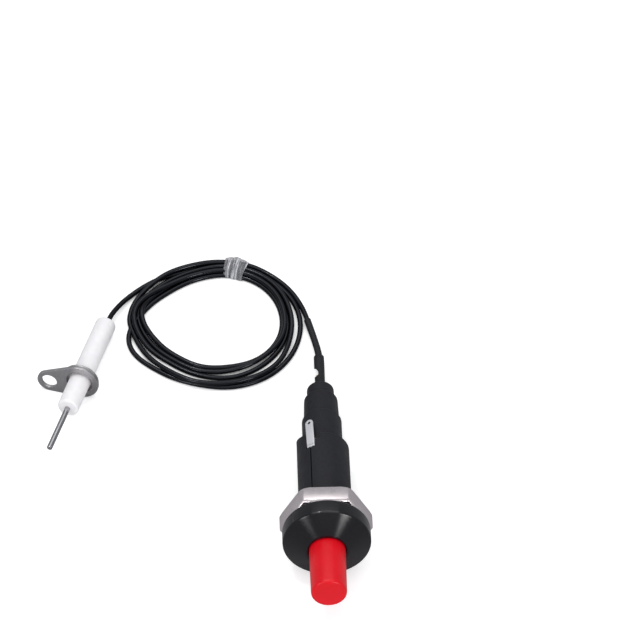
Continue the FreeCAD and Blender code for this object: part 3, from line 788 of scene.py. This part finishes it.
# %% Housing
bezel_radius = 14.5
barrel_radius = 8.8
barrel_bore = 7.3
seat_bore = 7.5
nose = 9.9
rim = -36.9
guide_seat = -33.8
thread_end = -11.2
thread_pitch = 1.6
thread_depth = 0.35
thread_row = 0.1
slot_angle = 29
fold = -31.4

front_section = eased([
    (7.5, 6.7), (7.5, 6.2), (nose, 6.2), (nose, 7.0), (6.2, 14.3), (5.8, bezel_radius), (0.9, bezel_radius),
    (0, 13.5), (0, barrel_radius - thread_depth), (thread_end / 4, barrel_radius - thread_depth),
], 0.35)
thread_rows = [Vector((-row * thread_row, barrel_radius)) for row in range(2, int(-thread_end / thread_row))]
rear_section = eased([
    (thread_end, barrel_radius), (rim, barrel_radius), (rim, seat_bore), (guide_seat, seat_bore),
    (guide_seat, barrel_bore), (7.5, barrel_bore), (7.5, 6.7),
], 0.3)
front_section = [point for point in front_section if point.x > -0.15 or point.y > barrel_radius]
housing = spun("housing_moulding", front_section + thread_rows + rear_section, on_igniter)
for vertex in housing.data.vertices:
    station, radius = vertex.co.x / mm, math.hypot(vertex.co.y, vertex.co.z) / mm
    if thread_end < station < -0.15 and barrel_radius - thread_depth / 2 < radius < bezel_radius - 1:
        turn = math.atan2(-vertex.co.y, vertex.co.z) / (2 * math.pi)
        phase = (-station / thread_pitch + turn) % 1
        ridge = min(1.0, max(0.0, 2.4 * abs(2 * phase - 1) - 0.7))
        run_out = min(1.0, (station - thread_end) / thread_pitch)
        deeper = thread_depth * (1 - ridge) * run_out
        vertex.co.y *= (radius - deeper) / radius
        vertex.co.z *= (radius - deeper) / radius

combine(housing, sector_tool(rim - 4.4, rim + 0.3, seat_bore, barrel_radius, 30, 112, on_igniter), "UNION")
slant = Matrix.Translation((-38.7 * mm, 0, 5.05 * mm)) @ Matrix.Rotation(math.radians(27), 4, "Y")
combine(housing, box_tool(-12, 0, 24, -10, 10, 0, on_igniter @ slant))
combine(housing, box_tool(rim - 5, fold + 0.25, 3.3, 3.6, 16, slot_angle, on_igniter))
combine(housing, sector_tool(rim - 1, rim + 2.6, seat_bore, 16, 6, slot_angle, on_igniter))
combine(housing, box_tool(fold, -1.5, 0.4, barrel_radius - 0.7, 16, slot_angle, on_igniter))
bevelled(housing, 0.12 * mm)
set_down(housing, "igniter", "black_moulding", "housing")
housing.data.materials.append(bezel.material)
for polygon in housing.data.polygons:
    if polygon.center.x > 0.2 * mm and math.hypot(polygon.center.y, polygon.center.z) > 6.4 * mm:
        polygon.material_index = 1

# %% [markdown]
# ## Panel nut
# A hexagon of 27 mm across flats. Its front edge has a straight, narrow, bright bevel. Its rear corners were
# turned off, which gives the arched edge on every flat: the hexagon is cut to a spun envelope for that.

# %% Panel nut
across_flats = 27.0
nut_thickness = 6.8
corner_radius = across_flats / math.sqrt(3)
corners = []
for station in (0, -nut_thickness):
    for k in range(6):
        angle = math.radians(60 * k)
        across = corner_radius * math.cos(angle) * mm
        upwards = corner_radius * math.sin(angle) * mm
        corners.append((station * mm, across, upwards))
ends = [tuple(range(6)), tuple(range(11, 5, -1))]
sides = [(k + 6, (k + 1) % 6 + 6, (k + 1) % 6, k) for k in range(6)]
nut = add_mesh("hexagon_nut", corners, ends + sides, on_igniter)
bevelled(nut, 0.7 * mm, 1)
turned_radius = 13.3
nut_bore = 8.92
corner_drop = (corner_radius - turned_radius) * math.tan(math.radians(30))
envelope = spun("tool", [
    (0.1, 0), (0.1, corner_radius + 0.3), (-nut_thickness + corner_drop, corner_radius + 0.001),
    (-nut_thickness, turned_radius), (-nut_thickness, 0),
], on_igniter)
combine(nut, envelope, "INTERSECT")
combine(nut, spun("tool", [(1, 0), (1, nut_bore), (-8, nut_bore), (-8, 0)], on_igniter))
nut.matrix_world = on_igniter @ Matrix.Translation((-0.05 * mm, 0, 0))
bevelled(nut, 0.12 * mm, 2)
set_down(nut, "nut", "nickel_plate", "panel_nut")

# %% [markdown]
# ## Push button
# A hollow cap of red plastic with a skirt that stays inside the nose. It tapers a little, and its end is
# rounded all round a nearly flat face.

# %% Push button
button = spun("red_button", (
    eased([(-3.0, 4.6), (-3.0, 7.0), (7.4, 7.0), (7.4, 6.0), (nose, 6.0), (28.8, 5.8), (28.86, 0)], 1.1, 7)
    + eased([(26.8, 0), (26.8, 4.6), (-3.0, 4.6)], 0.5)[:-1]
), on_igniter)
set_down(button, "button", "red_moulding", "push_button")

# %% [markdown]
# ## Rear cap, boot and sleeve
# The stepped cap is one moulding with softly rounded steps. A rubber boot grips the socket on its output
# pin, with a small round bite on one side, and a shrink sleeve runs from the boot over the start of the lead.
# The bite is cut along the line from the camera, since an upright cut would close up when seen at a slant.
# Behind the bite the socket is only a thin crimped neck, so no brass shows there.

# %% Rear cap and boot
cap_rear = -66.6
cap = spun("stepped_cap", eased([
    (-35.4, 3.35), (-35.4, 7.4), (rim, 7.4), (rim, 6.75), (-50.7, 6.75), (-50.7, 6.05), (-61.2, 5.75),
    (-61.2, 4.65), (cap_rear, 4.65), (cap_rear, 1.05), (-62.2, 1.05), (-62.2, 3.35), (-35.4, 3.35),
], 0.5)[1:-1], on_igniter)
set_down(cap, "igniter", "black_moulding", "rear_cap")

boot_end = -83.6
crimp = -73.3
socket_end = -77.4
boot = spun("rubber_boot", eased([
    (socket_end, 0.5), (crimp, 0.5), (crimp, 1.5), (cap_rear, 1.5), (cap_rear, 1.8), (-70, 1.74), (-77, 1.8),
    (boot_end, 1.8), (boot_end, 0),
], 0.35) + [Vector((socket_end, 0))], on_igniter, 64)
bite_station = -75.6
bite_radius = 1.45
bite_way = (on_igniter.to_3x3().inverted() @ back).to_track_quat("X", "Z").to_matrix().to_4x4()
bite_place = on_igniter @ Matrix.Translation((bite_station * mm, -1.88 * mm, 0)) @ bite_way
combine(boot, spun("tool", [(-3.5, 0), (-3.5, bite_radius), (3.5, bite_radius), (3.5, 0)], bite_place, 48))
bevelled(boot, 0.1 * mm)
set_down(boot, "igniter", "boot_rubber", "terminal_boot")

socket = spun("wire_socket", [
    (-66.9, 1.05), (-66.9, 1.45), (crimp, 1.45), (crimp, 0.45), (socket_end, 0.45), (socket_end, 0),
    (-72.8, 0), (-72.8, 1.05),
], on_igniter, 48)
set_down(socket, "igniter", "contact_brass", "lead_socket")


# %% Shrink sleeve
def along_igniter(station):
    return on_igniter @ Vector((station * mm, 0, 0))


sleeve_start = along_igniter(boot_end)
sleeve_bend = along_igniter(boot_end - 3)
sleeve_end = Vector(lead_out[0]) * mm
sleeve_route = [
    sleeve_start, sleeve_start.lerp(sleeve_bend, 0.6), sleeve_bend.lerp(sleeve_end, 0.35),
    sleeve_bend.lerp(sleeve_end, 0.7), sleeve_end,
]
sleeve = thick_curve("shrink_tube", sleeve_route, 1.22 * mm, radii=[1.0, 1.0, 0.97, 1.0, 1.0])
wear(sleeve, "boot_rubber")
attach(sleeve, "igniter")
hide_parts("shrink_sleeve")

# %% [markdown]
# ## Ground tab
# A strip of bright sheet, folded back on itself in the window of the barrel. Its tab has a round end with
# a small hole, and leans a little to one side. A flat outline curve with its hole left open, filled and
# thickened, gives the tab. A second one gives the folded side view, as wide as the strip.

# %% Flat parts from outlines
def plate(name, loops, thickness, edge, place):
    """Flat sheet from closed outlines in the piece's XY plane, in millimetres; inner ones are holes."""
    data = bpy.data.curves.new(name, "CURVE")
    data.dimensions = "2D"
    data.fill_mode = "BOTH"
    data.extrude = (thickness / 2 - edge) * mm
    data.bevel_depth = edge * mm
    data.bevel_resolution = 2
    data.offset = -edge * mm
    for loop in loops:
        spline = data.splines.new("POLY")
        spline.points.add(len(loop) - 1)
        for point, (x, y) in zip(spline.points, loop):
            point.co = (x * mm, y * mm, 0, 1)
        spline.use_cyclic_u = True
    shell = linked(name, data)
    mesh = as_mesh(shell)
    bpy.data.objects.remove(shell)
    return linked(name, mesh, place)


def arc(centre, radius, start, end, steps=24):
    """Points on an arc, angles in degrees."""
    return [
        (centre[0] + radius * math.cos(math.radians(start + (end - start) * step / steps)),
         centre[1] + radius * math.sin(math.radians(start + (end - start) * step / steps)))
        for step in range(steps + 1)
    ]


def joined(name, pieces, place):
    """Several meshes as one piece, in the coordinates of place."""
    shape = bmesh.new()
    for piece in pieces:
        part_mesh = piece.data.copy()
        part_mesh.transform(place.inverted() @ piece.matrix_world)
        shape.from_mesh(part_mesh)
        bpy.data.meshes.remove(part_mesh)
        bpy.data.objects.remove(piece)
    bmesh.ops.remove_doubles(shape, verts=shape.verts, dist=1e-7)
    return from_shape(name, shape, place)


# %% Ground tab
strip_width = 2.8
strip_thickness = 0.5
tab_rear = -44.4
tab_low = math.sqrt((barrel_radius - 0.02) ** 2 - (strip_width / 2) ** 2) - strip_thickness
leg_low = tab_low - 0.3 - strip_thickness
fold_radius = 0.15 + strip_thickness
fold_centre = fold - fold_radius
on_strip = on_igniter @ Matrix.Rotation(math.radians(slot_angle), 4, "X")
side_view = on_strip @ Matrix.Rotation(math.pi / 2, 4, "X")
end_centre = tab_rear + strip_width / 2
lean_point = Vector((fold_centre * mm, 0, (tab_low + strip_thickness / 2) * mm))
tab_lean = Matrix.Translation(lean_point) @ Matrix.Rotation(math.radians(2.0), 4, "Z")
tab_end = (end_centre - fold_centre, 0)
tab_hole_radius = 0.6
tab_plate = plate("tab", [
    arc(tab_end, strip_width / 2, 90, 270) + [(0, -strip_width / 2), (0, strip_width / 2)],
    arc(tab_end, tab_hole_radius, 0, 345, 23),
], strip_thickness, 0.1, on_strip @ tab_lean)
middle_height = leg_low + fold_radius
folded = plate("folded", [
    [(-35.4, leg_low), (-35.4, 3.0), (-34.9, 3.0), (-34.9, leg_low)]
    + arc((fold_centre, middle_height), fold_radius, -90, 90)
    + [(fold_centre - 0.6, tab_low + strip_thickness), (fold_centre - 0.6, tab_low)]
    + arc((fold_centre, middle_height), 0.15, 90, -90)
    + [(-35.4, leg_low + strip_thickness)],
], strip_width, 0.1, side_view)
tab = joined("ground_tab", [tab_plate, folded], on_strip)
set_down(tab, "igniter", "sheet_steel", "ground_terminal")

# %% [markdown]
# ## Electrode
# The ceramic is a plain tube with well rounded ends. The bracket is a stamped plate, drawn as one outline
# from two arcs and their tangents, with two holes. Behind it a dished push-on ring grips the ceramic. The
# rod is a drawn wire with a tiny chamfer.

# %% Ceramic and rod
ceramic_length = 43.3
ceramic_radius = 3.65
ceramic_end = eased([(0, 1.6), (0, ceramic_radius), (4, ceramic_radius)], 1.7, 9)
ceramic_mouth = eased([(4, ceramic_radius), (ceramic_length, ceramic_radius), (ceramic_length, 0.97)], 0.9, 7)
ceramic_bore = [Vector((14.0, 0.97)), Vector((14.0, 1.6))]
ceramic = spun("ceramic_tube", ceramic_end + ceramic_mouth[1:] + ceramic_bore, on_electrode)
set_down(ceramic, "igniter", "white_ceramic", "ceramic_insulator")

rod_tip = 62.9
rod_radius = 0.95
rod_end = eased([(12, rod_radius), (rod_tip - 0.2, rod_radius), (rod_tip, 0.75), (rod_tip, 0)], 0.12, 3)
rod = spun("spark_rod", [(10.5, 0), (10.5, rod_radius)] + rod_end, on_electrode, 48)
set_down(rod, "igniter", "rod_steel", "electrode_rod")

# %% Bracket and grip ring
ring_radius = 6.7
lug_distance = 11.2
lug_radius = 4.3
plate_rear = 29.14
plate_thickness = 1.2
lean = math.degrees(math.asin((ring_radius - lug_radius) / lug_distance))
plate_middle = Matrix.Translation(((plate_rear + plate_thickness / 2) * mm, 0, 0))
facing_along = Matrix(((0, 0, 1, 0), (1, 0, 0, 0), (0, 1, 0, 0), (0, 0, 0, 1)))
across_plate = on_electrode @ plate_middle @ facing_along
outline = arc((0, 0), ring_radius, -90 - lean, 90 + lean, 60)
outline += arc((-lug_distance, 0), lug_radius, 90 + lean, 270 - lean, 40)
bracket = plate("bracket_sheet", [
    outline, arc((0, 0), 4.65, 0, 354, 59), arc((-lug_distance, 0), 2.75, 0, 352, 44),
], plate_thickness, 0.16, across_plate)
set_down(bracket, "igniter", "bracket_steel", "bracket_plate")

grip = spun("grip_washer", eased([
    (27.64, 3.7), (28.0, 6.3), (28.5, 6.3), (29.14, 5.8), (29.14, 3.7), (27.64, 3.7),
], 0.15)[1:-1], on_electrode, 96)
set_down(grip, "igniter", "bracket_steel", "grip_ring")

# %% [markdown]
# ## Clear tie
# A few windings of clear film hold the turns together. The film hugs the bundle: its section is the outline
# that a tight skin would have round the six wires. Three bands and a bunched hump on the outer top edge are
# added to that, with finer creases from noise. Its ends are drawn in a little.

# %% Tie
tie_wires = [
    Vector((29.1, 2.5)), Vector((27.3, 2.5)), Vector((25.5, 2.5)),
    Vector((24.6, 0.95)), Vector((26.4, 0.95)), Vector((28.2, 0.95)),
]
tie_radius = 26.85
tie_reach = 30.85
tie_half = 3.9
tie_columns = 60
tie_rows = 120
skin = []
for step in range(720):
    angle = 2 * math.pi * step / 720
    facing = Vector((math.cos(angle), math.sin(angle)))
    outermost = max(tie_wires, key=lambda wire: wire.dot(facing))
    skin.append(outermost + facing * 1.02)


def evenly(points, count):
    """The closed line through points, read again at even distances."""
    closed = points + points[:1]
    lengths = [0.0]
    for a, b in zip(closed, closed[1:]):
        lengths.append(lengths[-1] + (b - a).length)
    result, index = [], 0
    for step in range(count):
        wanted = lengths[-1] * step / count
        while lengths[index + 1] < wanted:
            index += 1
        share = (wanted - lengths[index]) / max(lengths[index + 1] - lengths[index], 1e-9)
        result.append(closed[index].lerp(closed[index + 1], share))
    return result


skin = evenly(skin, tie_rows)
skin_middle = sum(skin, Vector((0, 0))) / tie_rows
tie_way = math.radians(tie_angle - 1.3)
tie_middle = coil_place(tie_angle, tie_radius * mm, 0)
tie_frame = Matrix.Translation(tie_middle) @ Matrix.Rotation(tie_way - math.pi / 2, 4, "Z")
bunch_way = Vector((0.45, 0.89))
tie_vertices = []
for column in range(tie_columns + 1):
    along = (column / tie_columns * 2 - 1) * tie_half
    for row, point in enumerate(skin):
        outward = (point - skin_middle).normalized()
        band = 0.26 * abs(math.sin(math.pi * 1.5 * (along / tie_half + 1))) ** 0.7
        fold_place = Vector((along * 2.2, row * 0.03, 3.7))
        crease = 0.16 * noise.noise(fold_place) + 0.06 * noise.noise(fold_place * 2.7)
        top = max(0.0, outward.dot(bunch_way)) ** 2 * math.exp(-((along + 0.2) / 2.9) ** 2)
        ends = 1 - 0.35 * abs(along / tie_half) ** 6
        lift = (0.16 + band + crease + 1.25 * top) * ends
        spot = point + outward * lift
        height = max(spot.y, 0.06)
        radius = min(spot.x, tie_reach) * mm
        turned_by = tie_way - along * mm / (tie_radius * mm)
        tie_vertices.append(tie_frame.inverted() @ coil_place(math.degrees(turned_by), radius, height * mm))
tie_faces = []
for column in range(tie_columns):
    for row in range(tie_rows):
        a = column * tie_rows + row
        b = column * tie_rows + (row + 1) % tie_rows
        tie_faces.append((a, b, b + tie_rows, a + tie_rows))
tie = add_mesh("film_tie", tie_vertices, tie_faces, tie_frame)
sheet = tie.modifiers.new("sheet", "SOLIDIFY")
sheet.thickness = 0.1 * mm
sheet.offset = -1
keep_result(tie)
set_down(tie, "igniter", "tie_film", "coil_tie")

# %% [markdown]
# ## Springs
# The return spring presses the button out and the hammer spring drives the hammer. Both are wire wound
# round their seats, with closed end coils.

# %% Springs
def spring(name, rear, front, mean, wire, coils):
    """A wire spring between two stations, with open coils between two closed ones."""
    points = []
    per_coil = 24
    end_closed = 0.8
    closed_pitch = wire * 0.9
    total = coils + 2
    open_length = front - rear - wire - 2 * closed_pitch * end_closed
    for step in range(total * per_coil + 1):
        turned_coils = step / per_coil
        share = min(1.0, max(0.0, (turned_coils - end_closed) / (total - 2 * end_closed)))
        tight = min(turned_coils, end_closed) + max(0.0, turned_coils - total + end_closed)
        station = rear + wire / 2 + tight * closed_pitch + share * open_length
        angle = 2 * math.pi * turned_coils
        points.append(on_igniter @ (Vector((station, mean * math.cos(angle), mean * math.sin(angle))) * mm))
    strand = thick_curve(name, points, wire / 2 * mm, 4, 2)
    mesh = as_mesh(strand)
    bpy.data.objects.remove(strand)
    return linked(name, mesh)


return_rear, return_front = -33.7, -5.1
return_spring = spring("button_spring", return_rear, return_front, 6.6, 0.8, 4)
set_down(return_spring, "igniter", "spring_steel", "return_spring")
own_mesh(return_spring)

strike_rear, strike_front = -21.95, -5.1
strike_spring = spring("striker_spring", strike_rear, strike_front, 2.4, 0.6, 6)
set_down(strike_spring, "igniter", "spring_steel", "hammer_spring")
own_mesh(strike_spring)

# %% [markdown]
# ## Pieces kept from the model
# The works inside the barrel keep the model's own solids, which are right as they are, and get the finish
# that their slot in the record names.

# %% Finish the kept pieces
slot_of = {
    "plunger": "guide_plastic", "hammer": "hardened_steel", "hammer_pin": "hardened_steel",
    "guide_tube": "guide_plastic", "anvil": "hardened_steel", "piezo_crystal_front": "crystal",
    "contact_disc": "contact_brass", "piezo_crystal_rear": "crystal", "output_terminal": "contact_brass",
    "crimp_ferrule": "contact_brass",
}
for name, slot in slot_of.items():
    node = frame["nodes"][name]
    shade(node)
    wear(node, slot)
print("kept from the model:", len(slot_of))

# %% Update the scene
bpy.context.view_layer.update()
